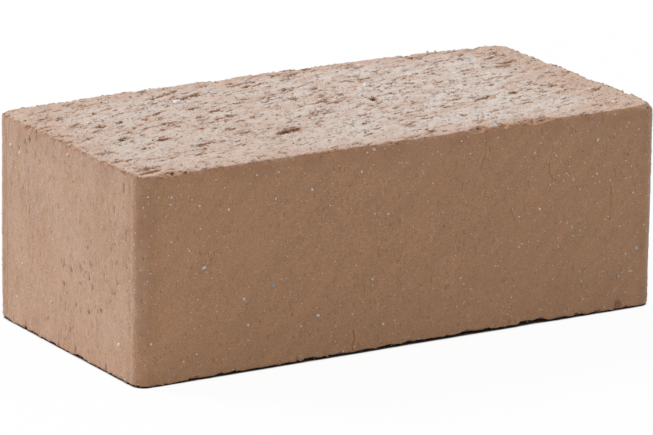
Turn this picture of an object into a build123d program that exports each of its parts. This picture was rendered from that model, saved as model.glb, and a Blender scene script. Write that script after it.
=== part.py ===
from build123d import *
import math
import os

# A solid fired-clay facing brick of the one-and-a-half height, in millimetres.
# The clay leaves the die as a column that runs along Z, so the die shapes the four upright faces:
# flat and smooth, round at the corners, with a drawn line beside each corner.
# A wire then cuts the column across. The two beds that it leaves are flat but torn, because grit
# that the wire drags along opens long pockets, and small pieces break off along the sharp arrises.
# The origin is the middle of the lower bed. +X runs along the stretcher face, +Y along the header.

# Overall size
length = 250.0
width = 120.0
height = 88.0

# What the die leaves on the upright faces
corner_radius = 5.0
die_line_gap = 0.8  # flat clay between a corner's round and its line
die_line_width = 2.4
die_line_depth = 0.25

# What handling leaves along the beds' edges
arris_radius = 0.6

# How the wire crossed the beds, in degrees from the stretcher face
drag_turn = 15.0

# Where a torn pocket is deepest, as a share of its length from the tail
spear_head_share = 0.62

# How long the slope of a chip is cut for each millimetre that it bites
chip_slope = 4.0

# Torn pockets of the upper bed: place as shares of the length and the width from the middle,
# then length, width and depth, and the turn away from the wire's own direction
upper_tears = [
    (-0.221, 0.385, 21.0, 2.6, 1.2, 4.0),
    (-0.187, 0.332, 23.0, 3.0, 1.4, 6.0),
    (-0.068, 0.397, 13.0, 2.2, 1.0, 1.0),
    (0.178, 0.412, 8.0, 2.0, 0.9, 0.0),
    (-0.140, -0.212, 14.0, 5.0, 1.8, 0.0),
    (-0.300, -0.224, 10.0, 3.4, 1.2, -10.0),
    (-0.346, -0.108, 9.0, 4.0, 1.3, 5.0),
    (0.008, 0.076, 12.0, 2.6, 1.0, 4.0),
    (0.094, 0.025, 6.0, 4.0, 1.6, 20.0),
    (0.260, -0.142, 13.0, 3.0, 1.3, 8.0),
    (0.330, -0.120, 6.0, 4.2, 1.7, 0.0),
    (-0.456, -0.403, 22.0, 2.4, 1.1, 0.0),
]

# Torn pockets of the lower bed, stated in the same way
lower_tears = [
    (-0.380, 0.260, 18.0, 2.8, 1.2, 3.0),
    (-0.250, -0.310, 12.0, 3.6, 1.4, -4.0),
    (-0.110, 0.120, 16.0, 2.4, 1.0, 0.0),
    (0.040, -0.180, 9.0, 4.2, 1.6, 6.0),
    (0.190, 0.330, 20.0, 2.6, 1.2, 2.0),
    (0.300, -0.040, 7.0, 3.8, 1.5, -8.0),
    (0.400, -0.360, 14.0, 2.6, 1.1, 0.0),
]

# Chips along the arrises, each seen from outside: share of the arris to the right of its middle,
# then length and bite
upper_front_chips = [
    (-0.470, 6.0, 1.3),
    (-0.350, 3.0, 0.7),
    (-0.150, 5.0, 0.9),
    (-0.025, 6.0, 1.0),
    (0.150, 11.0, 1.8),
    (0.195, 4.0, 1.0),
    (0.255, 18.0, 1.5),
    (0.460, 4.0, 0.8),
]
lower_front_chips = [
    (-0.468, 3.0, 0.6),
    (-0.390, 7.0, 1.2),
    (-0.345, 5.0, 0.9),
    (-0.175, 7.0, 1.3),
    (0.030, 8.0, 1.1),
    (0.140, 7.0, 1.6),
    (0.250, 7.0, 1.5),
    (0.285, 8.0, 1.8),
    (0.360, 6.0, 1.4),
    (0.405, 5.0, 1.2),
]
upper_left_chips = [
    (-0.283, 7.0, 1.3),
    (-0.167, 4.0, 0.8),
    (0.029, 6.0, 1.2),
    (0.250, 5.0, 1.0),
]
lower_left_chips = [
    (-0.380, 5.0, 1.0),
    (-0.090, 9.0, 1.2),
    (0.240, 6.0, 1.0),
]
upper_back_chips = [
    (-0.300, 6.0, 1.0),
    (0.080, 9.0, 1.4),
    (0.350, 5.0, 0.9),
]
lower_back_chips = [
    (-0.260, 8.0, 1.4),
    (0.120, 5.0, 1.0),
    (0.390, 7.0, 1.2),
]
upper_right_chips = [
    (-0.240, 5.0, 0.9),
    (0.180, 7.0, 1.2),
]
lower_right_chips = [
    (-0.120, 8.0, 1.3),
    (0.310, 5.0, 1.0),
]


def die_column():
    """The length of column between two cuts, with its bed edges worn round."""
    section = RectangleRounded(length, width, corner_radius)
    column = extrude(section, height)
    bed_edges = column.faces().sort_by(Axis.Z)[0].edges() + column.faces().sort_by(Axis.Z)[-1].edges()
    return fillet(bed_edges, arris_radius)


def half_round(chord, depth):
    """The radius of a round that bites that deep over that chord."""
    return (chord**2 / 4 + depth**2) / (2 * depth)


def die_line():
    """A round bar that bites one shallow drawn line into an upright face at X = 0, Y > 0."""
    bar_radius = half_round(die_line_width, die_line_depth)
    bar = Cylinder(bar_radius, height, align=(Align.CENTER, Align.CENTER, Align.MIN))
    return Pos(0, bar_radius - die_line_depth, 0) * bar


def die_lines():
    """One drawn line on each side of each of the four upright corners."""
    inset = corner_radius + die_line_gap + die_line_width / 2
    bars = []
    for turn, run, reach in ((0, length, width), (90, width, length)):
        for side in (-1, 1):
            for end in (-1, 1):
                place = Pos(end * (run / 2 - inset), reach / 2, 0)
                bars.append(Rot(Z=turn if side > 0 else turn + 180) * place * die_line())
    return bars


def spear(reach, thickness):
    """A solid along X that swells slowly from its tail and closes quickly at its head."""
    tail = (-reach * spear_head_share, 0)
    swell = (0, thickness / 2)
    head = (reach * (1 - spear_head_share), 0)
    profile = make_face(Polyline(tail, swell, head, close=True))
    return revolve(profile, Axis.X)


def tears(table, bed_z, up):
    """Pockets that open on the bed at bed_z, whose outward side is up (1) or down (-1)."""
    pockets = []
    for along, across, reach, breadth, depth, turn in table:
        thickness = 2 * half_round(breadth, depth)
        place = Pos(along * length, across * width, bed_z + up * (thickness / 2 - depth))
        pockets.append(place * Rot(Z=drag_turn + turn) * spear(reach, thickness))
    return pockets


def chips(table, middle, turn, run, up):
    """Scallops out of the arris through middle, which is run long and faces out at that turn."""
    scallops = []
    for along, reach, bite in table:
        round_radius = half_round(reach, bite)
        out = (round_radius - bite) / math.sqrt(2)
        place = Pos(along * run, -out, up * out) * Rot(X=-up * 45)
        scallops.append(Pos(*middle) * Rot(Z=turn) * place * Cylinder(round_radius, chip_slope * bite))
    return scallops


def all_chips():
    """The chips of the eight bed arrises. Each side is turned so that it faces the viewer."""
    sides = (
        (upper_front_chips, lower_front_chips, (0, -width / 2), 0, length),
        (upper_right_chips, lower_right_chips, (length / 2, 0), 90, width),
        (upper_back_chips, lower_back_chips, (0, width / 2), 180, length),
        (upper_left_chips, lower_left_chips, (-length / 2, 0), 270, width),
    )
    bites = []
    for upper, lower, (x, y), turn, run in sides:
        bites += chips(upper, (x, y, height), turn, run, up=1)
        bites += chips(lower, (x, y, 0), turn, run, up=-1)
    return bites


brick = die_column() - die_lines()
brick -= tears(upper_tears, height, 1) + tears(lower_tears, 0, -1)
brick -= all_chips()

os.makedirs("parts", exist_ok=True)
export_step(brick, "parts/brick.step")
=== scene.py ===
import itertools
import math

import bmesh
import bpy
import numpy as np
from mathutils import Matrix, Vector


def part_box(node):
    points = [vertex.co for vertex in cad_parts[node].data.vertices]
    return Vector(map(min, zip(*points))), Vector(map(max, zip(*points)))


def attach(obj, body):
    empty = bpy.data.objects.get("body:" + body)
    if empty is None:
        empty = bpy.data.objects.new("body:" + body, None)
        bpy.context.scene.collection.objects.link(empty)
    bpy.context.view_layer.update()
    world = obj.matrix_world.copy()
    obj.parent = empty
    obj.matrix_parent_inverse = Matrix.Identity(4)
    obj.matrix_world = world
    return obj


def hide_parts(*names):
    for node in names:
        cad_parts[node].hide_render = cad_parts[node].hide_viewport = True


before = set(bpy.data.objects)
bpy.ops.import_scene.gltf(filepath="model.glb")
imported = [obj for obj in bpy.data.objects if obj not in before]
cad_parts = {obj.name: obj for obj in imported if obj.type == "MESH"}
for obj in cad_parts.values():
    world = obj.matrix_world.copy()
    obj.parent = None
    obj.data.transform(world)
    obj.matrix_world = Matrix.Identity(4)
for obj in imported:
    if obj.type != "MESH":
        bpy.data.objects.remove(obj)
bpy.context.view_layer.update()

# Camera: a long lens a good two metres away, left of the brick's front corner and a little above it.
# The picture is 653 pixels wide, and its focal length in pixels was solved from the brick's outline.
MM = 0.001
picture_width = 653
focal_pixels = 5329.8
view_turn = math.radians(-31.44)
view_rise = math.radians(15.59)
view_roll = math.radians(0.74)
view_distance = 2238.2 * MM
aim_right = -0.74 * MM
aim_up = -3.35 * MM

brick_low, brick_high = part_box("brick")
brick_middle = (brick_low + brick_high) / 2
camera_turn = (
    Matrix.Rotation(view_turn, 4, "Z")
    @ Matrix.Rotation(math.pi / 2 - view_rise, 4, "X")
    @ Matrix.Rotation(view_roll, 4, "Z")
)
camera_data = bpy.data.cameras.new("camera")
camera_data.sensor_width = 36
camera_data.lens = camera_data.sensor_width * focal_pixels / picture_width
camera = bpy.data.objects.new("camera", camera_data)
camera.matrix_world = (
    Matrix.Translation(brick_middle) @ camera_turn @ Matrix.Translation((aim_right, aim_up, view_distance))
)
bpy.context.scene.collection.objects.link(camera)
bpy.context.scene.camera = camera

# Clay body: one piece of fired clay, drawn through a die and cut across by a wire.
# The box is cut into a fine grid, its corners are rounded, and then the clay is torn, chipped and
# worn point by point, with all sizes in millimetres until the mesh is done.
length, width, height = (brick_high - brick_low) / MM
corner_radius = 5.5
bed_grid = 0.5
side_rows = 110
side_row_ease = 0.5
least_run = 1
drag_turn = math.radians(16)
bed_reach = 8
beds_apart = 3
touching = 1e-4
tiny = 1e-9
rng = np.random.default_rng(11)

clay = bmesh.new()
bmesh.ops.create_cube(clay, size=1)
bmesh.ops.scale(clay, vec=(length, width, height), verts=clay.verts)
bmesh.ops.translate(clay, vec=(0, 0, height / 2), verts=clay.verts)
for axis, rows in enumerate((round(length / bed_grid), round(width / bed_grid), side_rows)):
    cut = [e for e in clay.edges if abs(e.verts[0].co[axis] - e.verts[1].co[axis]) > least_run]
    bmesh.ops.subdivide_edges(clay, edges=cut, cuts=rows - 1, use_grid_fill=True)
for face in clay.faces:
    face.smooth = True
clay_mesh = bpy.data.meshes.new("clay_grid")
clay.to_mesh(clay_mesh)
clay.free()

points = np.empty(len(clay_mesh.vertices) * 3)
clay_mesh.vertices.foreach_get("co", points)
points = points.reshape(-1, 3)
half = np.array((length / 2, width / 2))
share = points[:, 2] / height
points[:, 2] = height * ((1 - side_row_ease) * share + side_row_ease * share**2 * (3 - 2 * share))

# The die's round corners: the outer ring of each corner square is drawn in to a quarter circle.
beyond = np.maximum(np.abs(points[:, :2]) - (half - corner_radius), 0) * np.sign(points[:, :2])
in_corner = (np.abs(beyond) > 0).all(axis=1)
reach = np.hypot(beyond[:, 0], beyond[:, 1])
drawn_in = np.abs(beyond).max(axis=1) / np.maximum(reach, tiny)
points[in_corner, :2] += (beyond * (drawn_in - 1)[:, None])[in_corner]

# How far each point lies in from the nearest side, and which way that side faces
to_sides = half - np.abs(points[:, :2])
nearest = to_sides.argmin(axis=1)
facing = np.eye(2)[nearest] * np.sign(points[:, :2])
facing[in_corner] = (beyond / np.maximum(reach, tiny)[:, None])[in_corner]
corner_inset = corner_radius - np.abs(beyond).max(axis=1)
inside_side = np.maximum(np.where(in_corner, corner_inset, to_sides.min(axis=1)), 0)

# Each point's own bed, and its place on that bed along and across the wire's drag
upper = points[:, 2] > height / 2
at_bed = points.copy()
at_bed[:, 2] = np.where(upper, height, 0)
below_bed = np.abs(at_bed[:, 2] - points[:, 2])
on_bed = below_bed < touching
along = points[:, 0] * math.cos(drag_turn) + points[:, 1] * math.sin(drag_turn)
across = points[:, 1] * math.cos(drag_turn) - points[:, 0] * math.sin(drag_turn)
dragged = np.column_stack((along, across, at_bed[:, 2] * beds_apart))
bed_fade = np.clip(1 - below_bed / bed_reach, 0, 1) ** 2

# A table of chance numbers and slopes, from which the lumps of clay are drawn
table_size = 256
last_entry = table_size - 1
lump_gain = 1.8
hash_table = rng.permutation(table_size)
slope_table = rng.normal(size=(table_size, 3))
slope_table /= np.linalg.norm(slope_table, axis=1)[:, None]


def lumps(places, cell, seed):
    """Smooth random lumps, about -1 to 1, in cells of that size along each axis."""
    places = places / np.array(cell)
    corner = np.floor(places).astype(int)
    inside = places - corner
    fade = inside**3 * (inside * (inside * 6 - 15) + 10)
    total = np.zeros(len(places))
    for step in itertools.product((0, 1), repeat=3):
        key = corner + step
        pick = hash_table[(key[:, 0] + seed) & last_entry]
        pick = hash_table[(pick + key[:, 1]) & last_entry]
        pick = hash_table[(pick + key[:, 2]) & last_entry]
        weight = np.where(np.array(step) == 1, fade, 1 - fade).prod(axis=1)
        total += weight * (slope_table[pick] * (inside - step)).sum(axis=1)
    return total * lump_gain


def ramp(values, low, high):
    """0 below low, 1 above high and a smooth climb between."""
    share = np.clip((values - low) / (high - low), 0, 1)
    return share * share * (3 - 2 * share)


# The larger torn pockets of the upper bed: place as shares of the length and the width from the
# middle, then length, breadth, depth and the turn away from the drag in degrees
big_tears = [
    (-0.221, 0.385, 23, 2.2, 1.3, 4),
    (-0.187, 0.332, 25, 2.6, 1.5, 6),
    (-0.068, 0.397, 14, 1.8, 1.0, 1),
    (0.178, 0.412, 9, 1.8, 0.9, 0),
    (-0.140, -0.212, 14, 5.0, 2.2, -2),
    (-0.300, -0.224, 10, 2.8, 1.3, -10),
    (-0.346, -0.108, 9, 3.6, 1.5, 5),
    (0.008, 0.076, 12, 2.2, 1.0, 4),
    (0.094, 0.025, 5.5, 4.4, 2.2, 30),
    (0.260, -0.142, 14, 2.2, 1.3, 8),
    (0.330, -0.120, 6, 3.4, 1.8, 0),
    (-0.456, -0.403, 24, 1.7, 1.1, 0),
    (-0.466, -0.448, 14, 3.0, 1.7, 0),
    (0.336, 0.126, 13, 1.6, 0.8, -6),
    (0.415, -0.104, 9, 2.4, 1.1, 3),
    (0.368, 0.354, 4, 3.0, 1.4, 0),
    (-0.208, -0.150, 18, 1.2, 0.8, -6),
    (-0.224, 0.092, 6, 2.4, 1.0, 8),
    (-0.364, -0.017, 6, 2.2, 1.0, 0),
    (-0.476, -0.275, 8, 2.4, 1.0, 4),
    (-0.144, 0.017, 6, 2.6, 1.0, 10),
    (0.024, -0.142, 6, 2.8, 1.0, 0),
    (-0.330, 0.330, 19, 1.2, 0.7, 2),
    (-0.420, 0.180, 16, 1.1, 0.7, -3),
    (-0.260, -0.040, 8, 1.6, 0.9, 0),
    (0.200, 0.220, 12, 1.2, 0.7, 4),
]
# The larger ones of the lower bed, listed in the same way
big_lower_tears = [
    (-0.380, 0.260, 18, 2.8, 1.2, 3),
    (-0.250, -0.310, 12, 3.6, 1.4, -4),
    (-0.110, 0.120, 16, 2.4, 1.0, 0),
    (0.040, -0.180, 9, 4.2, 1.6, 6),
    (0.190, 0.330, 20, 2.6, 1.2, 2),
    (0.300, -0.040, 7, 3.8, 1.5, -8),
    (0.400, -0.360, 14, 2.6, 1.1, 0),
]


def scattered(count, seed, breadth, slenderness, turn_spread=9):
    """Random pockets over a bed, listed as the large ones are. Most are short and shallow."""
    breadth_spread = 0.38
    length_spread = 0.35
    depth_share = 0.7
    broadest = 3
    deepest = 1.3
    draw = np.random.default_rng(seed)
    x = draw.uniform(-0.5, 0.5, count)
    y = draw.uniform(-0.5, 0.5, count)
    broad = np.minimum(breadth * draw.lognormal(0, breadth_spread, count), broadest)
    long = broad * slenderness * draw.lognormal(0, length_spread, count)
    depth = np.minimum(depth_share * broad * draw.uniform(0.6, 1.3, count), deepest)
    return list(zip(x, y, long, broad, depth, draw.normal(0, turn_spread, count)))


far_wall = 0.35
near_wall = 0.8
wall_curve = 0.8
lip_height = 0.2
lip_reach = 1.0
most_slant = 0.3


def torn(band, tears, seed):
    """How deep the pockets are at each point, and how high the lips stand up around them.
    A pocket's far wall is steep, its near wall leans, and its floor and outline are ragged."""
    deep = np.zeros(len(points))
    lips = np.zeros(len(points))
    spots = np.flatnonzero(band & (below_bed < bed_reach))
    here = dragged[spots]
    ragged_along = here[:, 0] + 0.9 * lumps(here, (2.6, 1.6, 9), seed)
    ragged_along += 0.45 * lumps(here, (0.9, 0.9, 9), seed + 1)
    ragged_across = here[:, 1] + 0.5 * lumps(here, (2.2, 1.3, 9), seed + 2)
    ragged_across += 0.35 * lumps(here, (0.9, 0.9, 9), seed + 3)
    rough_floor = 1 + 0.4 * lumps(here, (1.3, 1.3, 9), seed + 4)
    for x, y, long, broad, depth, turn in tears:
        middle_along = x * length * math.cos(drag_turn) + y * width * math.sin(drag_turn)
        middle_across = y * width * math.cos(drag_turn) - x * length * math.sin(drag_turn)
        near = np.flatnonzero(
            (np.abs(ragged_along - middle_along) < long / 2 + broad)
            & (np.abs(ragged_across - middle_across) < long * most_slant + broad)
        )
        a = ragged_along[near] - middle_along
        b = ragged_across[near] - middle_across
        bend = math.radians(turn)
        lengthwise = (a * math.cos(bend) + b * math.sin(bend)) / (long / 2)
        sidewise = (b * math.cos(bend) - a * math.sin(bend)) / (broad / 2)
        rim = (1 - np.hypot(lengthwise, sidewise)) * broad / 2
        wall = np.where(sidewise > 0, far_wall, near_wall)
        hollow = depth * np.clip(rim / wall, 0, 1) ** wall_curve * rough_floor[near]
        lip = lip_height * depth * np.clip(1 + rim / lip_reach, 0, 1) * (rim < 0)
        deep[spots[near]] = np.maximum(deep[spots[near]], hollow)
        lips[spots[near]] = np.maximum(lips[spots[near]], lip)
    return deep, lips * (deep == 0)


upper_tears = big_tears + scattered(560, 21, 1.1, 2.6) + scattered(120, 23, 0.9, 7, 5)
lower_tears = big_lower_tears + scattered(500, 22, 1.3, 2.8) + scattered(150, 24, 0.9, 8, 5)
upper_depth, upper_lips = torn(upper, upper_tears, 40)
lower_depth, lower_lips = torn(~upper, lower_tears, 50)
pocket_depth = upper_depth + lower_depth

# The bed between the pockets: broad swells, drawn-out ripples, thin flakes, crumbs and grain. Each
# is a height times lumps of a cell size and a seed of its own.
swell = 0.20 * lumps(at_bed, (46, 34, 60), 1)
ripple = 0.07 * lumps(dragged, (11, 3.6, 20), 2) + 0.06 * lumps(dragged, (4.5, 1.5, 20), 3)
flake = 0.15 * ramp(lumps(dragged, (6.0, 1.8, 20), 4), 0.34, 0.42)
flake += 0.30 * ramp(lumps(dragged, (2.8, 1.2, 20), 14), 0.34, 0.42)
crumb = 0.38 * ramp(lumps(at_bed, (1.7, 1.7, 9), 15), 0.46, 0.60)
grain = 0.13 * lumps(at_bed, (1.1, 1.1, 9), 5)
bed_relief = swell + ripple + grain + crumb + upper_lips + lower_lips - flake - pocket_depth

# The brick is a little bowed: its upper bed is crowned towards the back, and its lower bed is hollow
# along the middle, so that it stands on its ends
crown_height = 1.3
crown_from = -20
crown_to = 55
arch_height = 0.8
crown = crown_height * (1 - (2 * points[:, 0] / length) ** 4) * ramp(points[:, 1], crown_from, crown_to)
arch = arch_height * (1 - (2 * points[:, 0] / length) ** 2)
bed_relief += np.where(upper, crown, -arch)

# The drawn skin of the four sides: long swells, smeared blotches, scabs and a few open upright
# pores, which come in patches and mostly on the two ends
skin_relief = 0.20 * lumps(points, (60, 60, 80), 6) + 0.07 * lumps(points, (9, 9, 13), 7)
skin_relief += 0.09 * lumps(points, (3.2, 3.2, 4.6), 8) + 0.06 * lumps(points, (1.4, 1.4, 2.4), 16)
porous = ramp(lumps(points, (28, 28, 36), 18), 0.0, 0.5) * np.where(nearest == 0, 1, 0.3)
pores = ramp(lumps(points, (1.4, 1.4, 3.4), 9), 0.60, 0.74) * porous
skin_relief += 0.16 * ramp(lumps(points, (2.4, 2.4, 2.4), 17), 0.46, 0.60) - 0.45 * pores

# A line is drawn down each face beside each corner. It wanders a little on its way.
line_inset = 7.0
line_width = 1.3
line_depth = 0.22
from_corner = np.maximum(half - np.abs(points[:, :2]), 0).max(axis=1)
wander = 0.5 * lumps(points, (90, 90, 35), 10)
skin_relief -= line_depth * np.exp(-(((from_corner - line_inset + wander) / line_width) ** 2))

# Arrises: the edges between beds and sides are rubbed round, and bits have broken away.
# Each chip: the side it is on, its middle along that side, its length, how far it reaches in over
# the bed and how far down the face.
upper_chips = [
    ("front", -109, 17, 4.4, 1.6),
    ("front", -89, 4, 1.2, 1.2),
    ("front", -36.5, 6, 1.8, 1.3),
    ("front", -7, 7, 2.4, 1.8),
    ("front", 37, 12, 5.2, 2.2),
    ("front", 48.5, 8, 4.4, 1.6),
    ("front", 64, 22, 5.6, 1.5),
    ("front", 88, 7, 1.6, 0.9),
    ("front", 106, 9, 1.5, 0.8),
    ("left", 34, 8, 2.2, 1.8),
    ("left", 20, 5, 1.6, 1.3),
    ("left", -3.5, 7, 2.0, 1.7),
    ("left", -30, 6, 1.6, 1.4),
    ("left", -48, 5, 1.4, 1.1),
    ("right", -38, 6, 1.6, 1.2),
    ("right", -9, 8, 2.2, 1.4),
    ("right", 24, 7, 2.0, 1.5),
    ("right", 43, 4, 1.6, 1.0),
    ("back", -92, 7, 2.2, 1.4),
    ("back", -41, 5, 1.6, 1.2),
    ("back", -20, 10, 2.6, 1.8),
    ("back", 26, 6, 1.8, 1.2),
    ("back", 75, 8, 2.2, 1.6),
]
lower_chips = [
    ("front", -117, 4, 1.6, 1.2),
    ("front", -98, 8, 2.8, 1.9),
    ("front", -87, 5, 2.2, 1.6),
    ("front", -80, 5, 2.2, 1.4),
    ("front", -44, 7, 2.6, 1.9),
    ("front", -30, 5, 2.2, 1.5),
    ("front", -7, 5, 2.0, 1.4),
    ("front", 3, 6, 2.4, 1.6),
    ("front", 32, 8, 2.8, 2.1),
    ("front", 41.5, 5, 2.2, 1.6),
    ("front", 61, 8, 3.2, 2.3),
    ("front", 67.5, 9, 3.4, 2.5),
    ("front", 79.5, 5, 2.2, 1.6),
    ("front", 87, 6, 2.6, 1.9),
    ("front", 97, 5, 2.4, 1.6),
    ("front", 111.5, 5, 2.2, 1.5),
    ("left", -46, 6, 1.8, 1.5),
    ("left", -11, 10, 2.4, 1.9),
    ("left", 12, 5, 1.8, 1.4),
    ("left", 29, 7, 2.0, 1.6),
    ("right", -14, 9, 2.2, 1.6),
    ("right", 37, 6, 1.8, 1.2),
    ("back", -98, 8, 2.2, 1.6),
    ("back", -30, 6, 1.8, 1.4),
    ("back", 65, 9, 2.4, 1.8),
]
rough_edge = np.maximum(lumps(at_bed, (3.4, 3.4, 9), 11) + 0.6 * lumps(at_bed, (1.5, 1.5, 9), 12), -0.7)
corner_zone = 12
at_corners = ramp(from_corner, corner_zone, 2)
# One corner of the upper bed, at the front on the right, is worn rounder than the rest
worn_corner_reach = 16
worn_corner_core = 3
from_worn_corner = np.hypot(half[0] - points[:, 0], half[1] + points[:, 1])
round_corner = upper * ramp(from_worn_corner, worn_corner_reach, worn_corner_core)
# How far the wear reaches in over the bed and down the face, first at a plain stretch of arris
plain_in = np.where(upper, 0.7, 1.2)
plain_down = np.where(upper, 0.5, 1.1)
edge_in = plain_in + 0.5 * rough_edge + 0.7 * at_corners + 3.0 * round_corner
edge_down = plain_down + 0.3 * rough_edge + 0.5 * at_corners + 2.6 * round_corner
# Small bites all along every arris
nibble_in = 1.9
nibble_down = 1.1
nibble_rawness = 0.7
nibbled = ramp(lumps(at_bed, (2.6, 2.6, 9), 19) + 0.5 * lumps(at_bed, (1.1, 1.1, 9), 20), 0.28, 0.44)
edge_in = np.maximum(edge_in, nibble_in * nibbled)
edge_down = np.maximum(edge_down, nibble_down * nibbled)
bitten = nibble_rawness * nibbled
# The chips in the lists, whose outlines are ragged
ragged_run = points[:, :2] + (1.3 * lumps(at_bed, (2.0, 2.0, 9), 13))[:, None]
sides = {"front": (0, 1, -1), "back": (0, 1, 1), "left": (1, 0, -1), "right": (1, 0, 1)}
for chips, band in ((upper_chips, upper), (lower_chips, ~upper)):
    for side, middle, long, into_bed, down_face in chips:
        run, across_run, sign = sides[side]
        close = band & (points[:, across_run] * sign > half[across_run] - bed_reach)
        bite = 1 - (2 * (ragged_run[:, run] - middle) / long) ** 2
        bite = np.where(close, np.sqrt(np.clip(bite, 0, 1)), 0)
        edge_in = np.maximum(edge_in, into_bed * bite)
        edge_down = np.maximum(edge_down, down_face * bite)
        bitten = np.maximum(bitten, bite)
# A rubbed arris is rounded a little, and a bitten one is cut back further, straighter and rougher
worn = np.where(on_bed, 1 - inside_side / edge_in, 1 - below_bed / edge_down).clip(0, 1)
cut_back = 0.30 + 0.22 * bitten
roundness = 2 - 0.9 * bitten
shift = cut_back * worn**roundness
shift *= 1 + 0.5 * bitten * lumps(points, (1.5, 1.5, 1.5), 25)
fall = edge_down * shift
pull = edge_in * shift

up = np.where(upper, 1, -1)
shaped = points.copy()
shaped[:, 2] += up * (bed_relief * bed_fade - fall)
shaped[:, :2] += facing * (skin_relief * ~on_bed - pull)[:, None]
shaped[:, 2] = np.maximum(shaped[:, 2], 0)
clay_mesh.vertices.foreach_set("co", (shaped * MM).ravel())

# What the surface colour needs later: whether the clay is torn or skin, how deep it lies in a
# hollow, how near it is to the bed's rim or to an upright corner, and where an arris is rubbed or
# broken to raw clay
rim_breadth = 20
flake_hollow = 0.4
pore_hollow = 0.6
on_skin = ~on_bed & (below_bed >= 1)
hollow_depth = (flake_hollow * flake + pocket_depth) * bed_fade + np.where(on_skin, pore_hollow * pores, 0)
marks = {
    "torn": np.where(on_bed, 1, ramp(worn, 0.45, 0.85)),
    "hollow": hollow_depth,
    "rim": np.where(on_bed, ramp(inside_side, rim_breadth, 1), 1),
    "corner": ramp(from_corner, corner_zone, 4),
    "rubbed": np.clip(ramp(worn, 0.02, 0.4) * (0.8 + 0.4 * rough_edge - 0.6 * round_corner), 0, 1),
    "broken": np.clip(ramp(worn, 0.02, 0.30) * (bitten - 0.4 * nibbled) * 1.3, 0, 1),
}
for name, values in marks.items():
    clay_mesh.attributes.new(name, "FLOAT", "POINT").data.foreach_set("value", values.astype(np.float32))

# Flat stretches need few faces, so the grid is thinned to where the shape is. The lower bed is
# thinned most, and a band below each arris is kept whole, so that skin and torn clay stay apart.
most_faces = 194000
thinning_contrast = 6
kept_from = 2.5
kept_to = 3.3
clay_grid = bpy.data.objects.new("clay_grid", clay_mesh)
bpy.context.scene.collection.objects.link(clay_grid)
thinned = clay_grid.vertex_groups.new(name="thinned")
on_lower_bed = on_bed & ~upper
kept_whole = (below_bed > kept_from) & (below_bed < kept_to)
for spots, weight in ((on_lower_bed, 1.0), (kept_whole, 0.0), (~on_lower_bed & ~kept_whole, 0.5)):
    thinned.add(np.flatnonzero(spots).tolist(), weight, "REPLACE")
thin = clay_grid.modifiers.new("thin", "DECIMATE")
thin.ratio = most_faces / (2 * len(clay_mesh.polygons))
thin.vertex_group = thinned.name
thin.vertex_group_factor = thinning_contrast
brick_mesh = bpy.data.meshes.new_from_object(clay_grid.evaluated_get(bpy.context.evaluated_depsgraph_get()))
brick_mesh.name = "clay_body"
# Thinning leaves a few points a tenth of a millimetre too low, and the brick stands on the floor
kept_points = np.empty(len(brick_mesh.vertices) * 3)
brick_mesh.vertices.foreach_get("co", kept_points)
kept_points[2::3] = np.maximum(kept_points[2::3], 0)
brick_mesh.vertices.foreach_set("co", kept_points)
bpy.data.objects.remove(clay_grid)
brick = bpy.data.objects.new("clay_body", brick_mesh)
bpy.context.scene.collection.objects.link(brick)


def add_node(tree, kind, inputs=None, **settings):
    """A shader node in that tree. An input that is a socket is linked, and any other is set."""
    new = tree.nodes.new(kind)
    for name, value in settings.items():
        setattr(new, name, value)
    for name, value in (inputs or {}).items():
        if isinstance(value, bpy.types.NodeSocket):
            tree.links.new(value, new.inputs[name])
        else:
            new.inputs[name].default_value = value
    return new


def mark(tree, name):
    """What the mesh says about each point under that name."""
    return add_node(tree, "ShaderNodeAttribute", attribute_name=name).outputs["Fac"]


def maths(tree, operation, first, second):
    """One sum with two numbers, which are sockets or values."""
    return add_node(tree, "ShaderNodeMath", {0: first, 1: second}, operation=operation).outputs[0]


def mixed(tree, factor, first, second, blend="MIX"):
    """Two colours mixed, where the factor and the colours are sockets or values."""
    colours = {0: factor, 6: first, 7: second}
    return add_node(tree, "ShaderNodeMix", colours, data_type="RGBA", blend_type=blend).outputs[2]


def climb(tree, value, low, high, bottom=0.0, top=1.0):
    """bottom below low, top above high and a smooth climb between."""
    ends = {"Value": value, "From Min": low, "From Max": high, "To Min": bottom, "To Max": top}
    return add_node(tree, "ShaderNodeMapRange", ends, interpolation_type="SMOOTHSTEP").outputs[0]


def turned(tree, places, size, stretch=(1, 1, 1), turn=(0, 0, 0)):
    """Places in cells of that many millimetres, drawn out along the axes by stretch, after a turn."""
    upright = add_node(tree, "ShaderNodeMapping", {"Vector": places, "Rotation": turn}).outputs[0]
    scale = Vector(1 / (size * MM * s) for s in stretch)
    return add_node(tree, "ShaderNodeMapping", {"Vector": upright, "Scale": scale}).outputs[0]


def speckle(tree, places, size, detail, stretch=(1, 1, 1), turn=(0, 0, 0)):
    """Noise whose lumps are about that many millimetres, with finer ones on them as detail says."""
    cells = {"Vector": turned(tree, places, size, stretch, turn), "Scale": 1.0}
    cells.update({"Detail": detail, "Roughness": 0.55})
    return add_node(tree, "ShaderNodeTexNoise", cells).outputs[0]


def dots(tree, places, spacing, share, radius):
    """1 inside scattered dots: one to a cell, in that share of the cells, of that radius in cells."""
    cells = {"Vector": turned(tree, places, spacing), "Scale": 1.0}
    found = add_node(tree, "ShaderNodeTexVoronoi", cells)
    lot = add_node(tree, "ShaderNodeSeparateColor", {0: found.outputs["Color"]}).outputs[0]
    inside = climb(tree, found.outputs["Distance"], radius, radius * 0.6)
    return maths(tree, "MULTIPLY", inside, maths(tree, "GREATER_THAN", lot, 1 - share))


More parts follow.
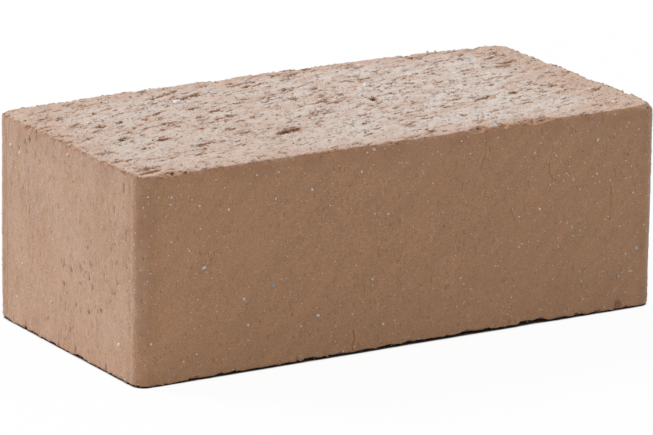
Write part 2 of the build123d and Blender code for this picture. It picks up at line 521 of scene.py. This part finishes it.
def stroke(tree, places, path, breadth):
    """1 along a line through those places on a side, in millimetres, and 0 beyond its breadth."""
    total = 0.0
    for start, end in itertools.pairwise(path):
        start, end = Vector(start) * MM, Vector(end) * MM
        run = (end - start) / (end - start).length_squared
        out = add_node(tree, "ShaderNodeVectorMath", {0: places, 1: start}, operation="SUBTRACT").outputs[0]
        share = add_node(tree, "ShaderNodeVectorMath", {0: out, 1: run}, operation="DOT_PRODUCT")
        share = add_node(tree, "ShaderNodeClamp", {"Value": share.outputs["Value"]}).outputs[0]
        step = add_node(tree, "ShaderNodeVectorMath", {0: end - start, "Scale": share}, operation="SCALE")
        gap = add_node(tree, "ShaderNodeVectorMath", {0: out, 1: step.outputs[0]}, operation="DISTANCE")
        line = climb(tree, gap.outputs["Value"], breadth * MM, breadth * MM / 3)
        total = maths(tree, "MAXIMUM", line, total)
    return total


skin_colour = (0.404, 0.215, 0.111, 1)
stain_colour = (0.330, 0.165, 0.085, 1)
dusty_colour = (0.750, 0.592, 0.495, 1)
warm_colour = (0.690, 0.462, 0.340, 1)
# A pale colour for painted sheen
painted_sheen_colour = (0.850, 0.748, 0.684, 1)
rubbed_colour = (0.51, 0.255, 0.122, 1)
broken_colour = (0.560, 0.290, 0.145, 1)
raw_colour = (0.56, 0.255, 0.105, 1)
# Dark colours for cracks, scratches and chipped crumbs, and for painted shade in nicks and hollows
dark_mark_and_shade_colour = (0.26, 0.087, 0.023, 1)
painted_hollow_shade_colour = (0.18, 0.062, 0.017, 1)
dark_grain_colour = (0.15, 0.125, 0.125, 1)
pale_grain_colour = (0.66, 0.62, 0.60, 1)
bed_turn = (0, 0, -drag_turn)
smear_turn = (0, -0.8, 0)

# Hairline cracks in the front skin, fissures in the left end, and the sharp core of one drawn line
# on each, as the photo shows them: each is a breadth and the places that it runs through
front_y = -width / 2
left_x = -length / 2
hairlines = [
    (0.30, [(39.3, front_y, 85), (39.0, front_y, 78), (37.2, front_y, 73), (36.9, front_y, 70)]),
    (0.40, [(71.0, front_y, 69.5), (70.8, front_y, 65), (72.3, front_y, 63), (74.8, front_y, 61)]),
    (0.28, [(36.7, front_y, 59.6), (41.5, front_y, 58.4), (44.6, front_y, 59)]),
    (0.30, [(104.2, front_y, 62), (104.7, front_y, 59)]),
    (0.30, [(102.4, front_y, 55), (102.6, front_y, 46)]),
    (0.30, [(51.9, front_y, 52.5), (54.1, front_y, 46.5)]),
    (0.55, [(-23.9, front_y, 1), (-24.4, front_y, 4.6), (-23.3, front_y, 6.6), (-24.0, front_y, 10.5)]),
    (0.35, [(-11.9, front_y, 6.5), (-11.8, front_y, 3.5)]),
    # The next two are the sharp cores of the drawn lines, painted dark as shade in their grooves
    (0.15, [(-119.6, front_y, 84), (-119.8, front_y, 45), (-119.6, front_y, 3)]),
    (0.75, [(left_x, 52.4, 82), (left_x, 51.8, 52), (left_x, 50.9, 35), (left_x, 52.0, 3)]),
    (0.60, [(left_x, 38.1, 55), (left_x, 38.9, 58), (left_x, 36.8, 62)]),
    (0.45, [(left_x, 33.1, 62), (left_x, 32.3, 65)]),
    (0.45, [(left_x, -11.2, 77.2), (left_x, -12.5, 75)]),
    (0.35, [(left_x, 29.0, 35), (left_x, 28.8, 31)]),
]

fired = bpy.data.materials.new("fired_clay")
fired.use_nodes = True
tree = fired.node_tree
shader = tree.nodes["Principled BSDF"]
places = add_node(tree, "ShaderNodeTexCoord").outputs["Object"]
torn_share = mark(tree, "torn")
hollow = mark(tree, "hollow")
rim = mark(tree, "rim")
corner_near = mark(tree, "corner")
rubbed = mark(tree, "rubbed")
broken = mark(tree, "broken")
place_parts = add_node(tree, "ShaderNodeSeparateXYZ", {0: places}).outputs

# Die skin: an even tan with clouds, slanting smears, fine mottling, pores and hairline cracks, with painted
# shade in the pores.
# It is browner upwards, below the upper arris and beside the corners, and a paler painted sheen lies over the
# left end.
clouds = speckle(tree, places, 24, 4, (1, 1, 1.5))
smears = speckle(tree, places, 5, 4, (1, 1, 5), smear_turn)
mottle = speckle(tree, places, 2.0, 4)
fine = speckle(tree, places, 0.55, 3)
on_left_end = climb(tree, place_parts["X"], (left_x + 8) * MM, (left_x + 1) * MM)
tone = climb(tree, clouds, 0.3, 0.7, 0.985, 1.015)
tone = maths(tree, "ADD", tone, climb(tree, smears, 0.3, 0.7, -0.05, 0.05))
tone = maths(tree, "ADD", tone, climb(tree, mottle, 0.3, 0.7, -0.06, 0.06))
tone = maths(tree, "ADD", tone, climb(tree, fine, 0.25, 0.75, -0.24, 0.24))
tone = maths(tree, "ADD", tone, climb(tree, place_parts["Z"], 0, height * MM, 0.025, -0.04))
skin = mixed(tree, 1.0, skin_colour, tone, "MULTIPLY")
below_arris = climb(tree, place_parts["Z"], (height - 10) * MM, (height - 2) * MM, 0.0, 0.6)
stain = maths(tree, "MAXIMUM", below_arris, maths(tree, "MULTIPLY", corner_near, 0.5))
stain = maths(tree, "MULTIPLY", stain, climb(tree, speckle(tree, places, 9, 4), 0.36, 0.62, 0.2, 1.3))
skin = mixed(tree, stain, skin, stain_colour)
# Painted sheen: the left end is mixed in patches towards a pale colour
left_end_painted_sheen = maths(tree, "MULTIPLY", on_left_end, climb(tree, clouds, 0.35, 0.6, 0.0, 0.06))
skin = mixed(tree, left_end_painted_sheen, skin, painted_sheen_colour)
# Painted shade: pores and other hollows in the skin are darkened by their depth
skin = mixed(tree, climb(tree, hollow, 0.1, 0.45, 0, 0.75), skin, painted_hollow_shade_colour)
scratches = climb(tree, speckle(tree, places, 1.3, 3, (1, 1, 3.0)), 0.62, 0.67)
scratched = climb(tree, on_left_end, 0, 1, 0.5, 0.8)
skin = mixed(tree, maths(tree, "MULTIPLY", scratches, scratched), skin, dark_mark_and_shade_colour)
broken_line = climb(tree, fine, 0.3, 0.55, 0.2, 0.8)
for breadth, path in hairlines:
    crack = maths(tree, "MULTIPLY", stroke(tree, places, path, breadth), broken_line)
    skin = mixed(tree, crack, skin, dark_mark_and_shade_colour)

# Torn clay: pale dust on the high parts, a whiter painted sheen right of the middle, warmer rims, raw orange
# clay in the hollows with painted shade in the deepest, and short nicks drawn out along the drag, the tan
# ones raw clay and the dark ones painted shade
patches = speckle(tree, places, 26, 3, (1.8, 1, 1), bed_turn)
streaks = speckle(tree, places, 4.5, 4, (3.5, 1, 1), bed_turn)
warmth = maths(tree, "ADD", climb(tree, patches, 0.38, 0.68, 0.0, 0.4), maths(tree, "MULTIPLY", rim, 0.85))
warmth = maths(tree, "ADD", warmth, climb(tree, streaks, 0.35, 0.68, -0.2, 0.4))
bare_end = climb(tree, place_parts["X"], 85 * MM, 115 * MM)
warmth = maths(tree, "ADD", warmth, maths(tree, "MULTIPLY", bare_end, 0.6))
dusty = mixed(tree, warmth, dusty_colour, warm_colour)
# Painted sheen: a whiter veil that grows from left to right of the middle, patchy with the streaks and kept
# off the rims and the right end
bed_painted_sheen = climb(tree, place_parts["X"], -100 * MM, 60 * MM, 0.0, 0.6)
bed_painted_sheen = maths(tree, "MULTIPLY", bed_painted_sheen, climb(tree, streaks, 0.62, 0.40))
bed_painted_sheen = maths(tree, "MULTIPLY", bed_painted_sheen, maths(tree, "SUBTRACT", 1.0, maths(tree, "MAXIMUM", rim, bare_end)))
dusty = mixed(tree, bed_painted_sheen, dusty, painted_sheen_colour)
uneven = maths(tree, "ADD", hollow, climb(tree, speckle(tree, places, 1.0, 3), 0.3, 0.7, -0.2, 0.2))
bed = mixed(tree, climb(tree, uneven, 0.20, 0.36), dusty, raw_colour)
# Painted shade: the deepest hollows of the bed are darkened by their depth
bed = mixed(tree, climb(tree, uneven, 0.45, 1.10, 0.0, 0.9), bed, painted_hollow_shade_colour)
tan_nicks = climb(tree, speckle(tree, places, 3.0, 5, (2.6, 1, 1), bed_turn), 0.615, 0.650)
nick_noise = speckle(tree, places, 2.3, 4, (2.8, 1, 1), bed_turn)
nick_noise = maths(tree, "ADD", nick_noise, climb(tree, patches, 0.35, 0.65, -0.03, 0.015))
# Painted shade: the dark nicks stand for tiny tears whose walls lie in shade
painted_nick_shade = climb(tree, nick_noise, 0.622, 0.652)
tan_nicks = maths(tree, "MAXIMUM", tan_nicks, climb(tree, nick_noise, 0.585, 0.620, 0.0, 0.8))
bed = mixed(tree, maths(tree, "MULTIPLY", tan_nicks, 0.7), bed, raw_colour)
bed = mixed(tree, maths(tree, "MULTIPLY", painted_nick_shade, 0.95), bed, dark_mark_and_shade_colour)
fine_pits = maths(tree, "MAXIMUM", maths(tree, "MULTIPLY", tan_nicks, 0.6), painted_nick_shade)
bed = mixed(tree, 1.0, bed, climb(tree, fine, 0.25, 0.75, 0.81, 1.17), "MULTIPLY")
surface = mixed(tree, torn_share, skin, bed)

# Arrises: rubbed ones are orange-brown, darkest on the left end, and bits broken out of them show
# ragged raw clay
ragged = climb(tree, mottle, 0.44, 0.60)
crumbling = climb(tree, maths(tree, "ADD", fine, climb(tree, on_left_end, 0, 1, -0.06, 0.03)), 0.40, 0.56)
rubbed_clay = mixed(tree, crumbling, rubbed_colour, dark_mark_and_shade_colour)
surface = mixed(tree, rubbed, surface, rubbed_clay)
surface = mixed(tree, broken, surface, mixed(tree, ragged, broken_colour, dark_mark_and_shade_colour))

# Grains too small to model: dark iron specks and pale quartz
surface = mixed(tree, dots(tree, places, 2.6, 0.16, 0.15), surface, dark_grain_colour)
pale_dots = dots(tree, places, 1.5, 0.20, 0.18)
surface = mixed(tree, maths(tree, "MULTIPLY", pale_dots, 0.85), surface, pale_grain_colour)
tree.links.new(surface, shader.inputs["Base Color"])

# Fine relief: crumbs, nicks and drag scratches on torn clay, a fainter grain on the skin
drag_lines = speckle(tree, places, 0.6, 2, (9, 1, 1), bed_turn)
crumbs = maths(tree, "ADD", speckle(tree, places, 0.55, 4), speckle(tree, places, 1.3, 3))
bed_rise = maths(tree, "ADD", crumbs, maths(tree, "MULTIPLY", drag_lines, 0.6))
bed_rise = maths(tree, "SUBTRACT", bed_rise, maths(tree, "MULTIPLY", fine_pits, 0.8))
skin_rise = maths(tree, "MULTIPLY", maths(tree, "ADD", crumbs, smears), 0.43)
rise = add_node(tree, "ShaderNodeMix", {0: torn_share, 2: skin_rise, 3: bed_rise}).outputs[0]
fine_depth = 0.62 * MM
bump = add_node(tree, "ShaderNodeBump", {"Height": rise, "Strength": 1.0, "Distance": fine_depth})
tree.links.new(bump.outputs[0], shader.inputs["Normal"])
shader.inputs["Roughness"].default_value = 0.7
shader.inputs["Specular IOR Level"].default_value = 0.4
shader.inputs["Sheen Weight"].default_value = 0.35
shader.inputs["Sheen Roughness"].default_value = 0.5
brick_mesh.materials.clear()
brick_mesh.materials.append(fired)
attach(brick, "root")
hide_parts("brick")

# Grit: angular grains of quartz and dark mineral in the clay, laid bare by the wire and the die.
# Each is a rough stone of twenty faces, sunk into the surface where the clay holds it.
bed_grain = 0.31
bed_grain_count = 4000
bed_proud = 0.35
skin_grain = 0.25
skin_grain_count = 2000
skin_proud = 0.10
size_spread = 0.4
largest_grain = 0.9
deepest_seat = -0.3
narrowest_spread = 0.5
widest_spread = 1.4
roughness = 0.25
stones_at_once = 60
# They lie thickest in the beds' pockets and, in the skin, towards the right end
bed_spots = np.flatnonzero(on_bed & (inside_side > 0.5))
skin_spots = np.flatnonzero(~on_bed & (below_bed > 1))
bed_chance = 0.3 + 2.0 * np.clip(hollow_depth[bed_spots], 0, 1)
skin_chance = 1 + ramp(points[skin_spots, 0], -40, 110)
bed_seats = rng.choice(bed_spots, bed_grain_count, replace=False, p=bed_chance / bed_chance.sum())
skin_seats = rng.choice(skin_spots, skin_grain_count, replace=False, p=skin_chance / skin_chance.sum())
seats = [(seat, bed_grain, bed_proud) for seat in bed_seats]
seats += [(seat, skin_grain, skin_proud) for seat in skin_seats]

# The largest grains, each placed where the photo shows it: X, Z and size in the front skin, and
# X, Y and size on the upper bed
front_grains = [
    (94.8, 76.5, 0.75),
    (74.5, 72.3, 0.70),
    (63.5, 74.3, 0.55),
    (66.7, 49.5, 0.70),
    (83.2, 60.6, 0.65),
    (78.4, 60.3, 0.50),
    (71.4, 59.5, 0.50),
    (103.3, 77.5, 0.50),
    (81.0, 69.0, 0.60),
    (-95.2, 47.1, 1.10),
    (-110.1, 59.5, 0.65),
    (-97.2, 72.7, 0.60),
    (-83.7, 69.6, 0.65),
    (-76.1, 31.6, 0.90),
    (-118.8, 18.4, 1.10),
    (-21.0, 77.4, 0.80),
    (-15.2, 31.5, 0.80),
]
bed_grains = [
    (30.9, 21.4, 1.30),
    (-34.3, 27.2, 0.90),
    (-64.5, -26.9, 1.00),
    (-4.8, -4.5, 1.10),
    (9.3, 10.6, 0.80),
    (46.7, 52.3, 0.90),
    (61.0, 37.1, 0.90),
    (-20.1, -10.2, 0.80),
    (108.9, 42.7, 1.00),
    (112.6, 15.6, 0.90),
    (114.3, -24.2, 1.10),
    (110.9, -47.6, 1.20),
    (95.5, -0.3, 0.90),
    (45.1, -57.5, 1.20),
    (-52.6, 36.4, 2.20),
]
smallest_placed = 0.5
placed_proud = -0.1
placed_tones = (0.43, 0.57)
paler_on_bed = 0.3
on_front = np.flatnonzero((nearest == 1) & (points[:, 1] < 0) & (below_bed > 1))
on_upper_bed = np.flatnonzero(on_bed & upper)
for placed, spots, second in ((front_grains, on_front, 2), (bed_grains, on_upper_bed, 1)):
    for first_place, second_place, size in placed:
        gap = np.hypot(points[spots, 0] - first_place, points[spots, second] - second_place)
        seats.append((spots[gap.argmin()], size, placed_proud))

grit = bmesh.new()
for start in range(0, len(seats), stones_at_once):
    handful = bmesh.new()
    tone_layer = handful.verts.layers.float.new("tone")
    for seat, usual, proud in seats[start : start + stones_at_once]:
        scattered_grain = usual < smallest_placed
        size = usual * rng.lognormal(0, size_spread if scattered_grain else 0)
        size = min(size, max(usual, largest_grain))
        out = Vector((0, 0, up[seat])) if on_bed[seat] else Vector((*facing[seat], 0))
        middle = Vector(shaped[seat]) + out * size * rng.uniform(deepest_seat, proud)
        middle.z = max(middle.z, (widest_spread + roughness) * size)
        turn = Matrix.Rotation(rng.uniform(0, math.tau), 4, Vector(rng.normal(size=3)))
        spread = Matrix.Diagonal((*(size * rng.uniform(narrowest_spread, widest_spread, 3)), 1))
        place = Matrix.Scale(MM, 4) @ Matrix.Translation(middle) @ turn @ spread
        stone = bmesh.ops.create_icosphere(handful, subdivisions=1, radius=1, matrix=place)
        if scattered_grain:
            tone = rng.uniform()
        else:
            tone = rng.uniform(*placed_tones) + paler_on_bed * on_bed[seat]
        for vert in stone["verts"]:
            vert[tone_layer] = tone
            vert.co += Vector(rng.uniform(-roughness, roughness, 3)) * size * MM
    handful_mesh = bpy.data.meshes.new("handful")
    handful.to_mesh(handful_mesh)
    handful.free()
    grit.from_mesh(handful_mesh)
    bpy.data.meshes.remove(handful_mesh)
grit_mesh = bpy.data.meshes.new("quartz_grit")
grit.to_mesh(grit_mesh)
grit.free()
grains = bpy.data.objects.new("quartz_grit", grit_mesh)
bpy.context.scene.collection.objects.link(grains)

quartz = bpy.data.materials.new("quartz_grit")
quartz.use_nodes = True
tree = quartz.node_tree
shader = tree.nodes["Principled BSDF"]
mineral = add_node(tree, "ShaderNodeValToRGB", {"Fac": mark(tree, "tone")})
mineral.color_ramp.interpolation = "CONSTANT"
minerals = mineral.color_ramp.elements
minerals[0].color = (0.15, 0.12, 0.115, 1)
minerals[1].position, minerals[1].color = 0.72, (0.70, 0.66, 0.64, 1)
for position, colour in (
    (0.03, (0.31, 0.285, 0.28, 1)),
    (0.14, (0.43, 0.400, 0.395, 1)),
    (0.42, (0.58, 0.550, 0.535, 1)),
    (0.58, (0.56, 0.40, 0.29, 1)),
):
    minerals.new(position).color = colour
tree.links.new(mineral.outputs[0], shader.inputs["Base Color"])
shader.inputs["Roughness"].default_value = 0.5
grit_mesh.materials.append(quartz)
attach(grains, "root")

# Floor, light and air: a white sweep under even light, with a soft key from behind on the left
floor_size = 6
floor_mesh = bpy.data.meshes.new("floor")
sweep = bmesh.new()
bmesh.ops.create_grid(sweep, x_segments=1, y_segments=1, size=floor_size)
sweep.to_mesh(floor_mesh)
sweep.free()
floor = bpy.data.objects.new("floor", floor_mesh)
bpy.context.scene.collection.objects.link(floor)
paper = bpy.data.materials.new("floor_paper")
paper.use_nodes = True
tree = paper.node_tree
shader = tree.nodes["Principled BSDF"]
shader.inputs["Roughness"].default_value = 0.9
shader.inputs["Specular IOR Level"].default_value = 0.1
glow = add_node(tree, "ShaderNodeEmission", {"Color": (1, 1, 1, 1), "Strength": 1.0})
seen = add_node(tree, "ShaderNodeLightPath").outputs["Is Camera Ray"]
# Paper that lies open to the air is seen white, and the crevice under the brick, found by ambient occlusion,
# is painted dark as shade
crevice_reach = 4 * MM
crevice_painted_shade_colour = (0.12, 0.10, 0.09, 1)
open_colour = (0.90, 0.90, 0.90, 1)
most_glow = 0.95
openness = add_node(tree, "ShaderNodeAmbientOcclusion", {"Distance": crevice_reach}, samples=16).outputs["AO"]
glow_share = maths(tree, "MULTIPLY", seen, climb(tree, openness, 0.3, 0.65, 0.0, most_glow))
# Painted shade: the paper's colour goes nearly black where it is occluded
paper_and_painted_shade = mixed(tree, climb(tree, openness, 0.3, 0.6), crevice_painted_shade_colour, open_colour)
tree.links.new(paper_and_painted_shade, shader.inputs["Base Color"])
shown = add_node(tree, "ShaderNodeMixShader", {0: glow_share, 1: shader.outputs[0], 2: glow.outputs[0]})
tree.links.new(shown.outputs[0], tree.nodes["Material Output"].inputs["Surface"])
floor_mesh.materials.append(paper)

world = bpy.data.worlds.new("world")
world.use_nodes = True
bpy.context.scene.world = world
tree = world.node_tree
air = tree.nodes["Background"]
air.inputs["Color"].default_value = (1, 1, 1, 1)
rays = add_node(tree, "ShaderNodeLightPath")
direct = maths(tree, "MAXIMUM", rays.outputs["Is Camera Ray"], rays.outputs["Is Glossy Ray"])
air_level = 0.655
tree.links.new(climb(tree, direct, 0, 1, air_level, 1.0), air.inputs["Strength"])

key_data = bpy.data.lights.new("key", "AREA")
key_data.shape = "DISK"
key_data.size = 1.8
key_data.energy = 138
key = bpy.data.objects.new("key", key_data)
key_place = Vector((-2.3, 2.9, 3.0))
key.location = key_place
key.rotation_euler = (brick_middle - key_place).to_track_quat("-Z", "Y").to_euler()
bpy.context.scene.collection.objects.link(key)

bpy.context.scene.view_settings.view_transform = "Standard"
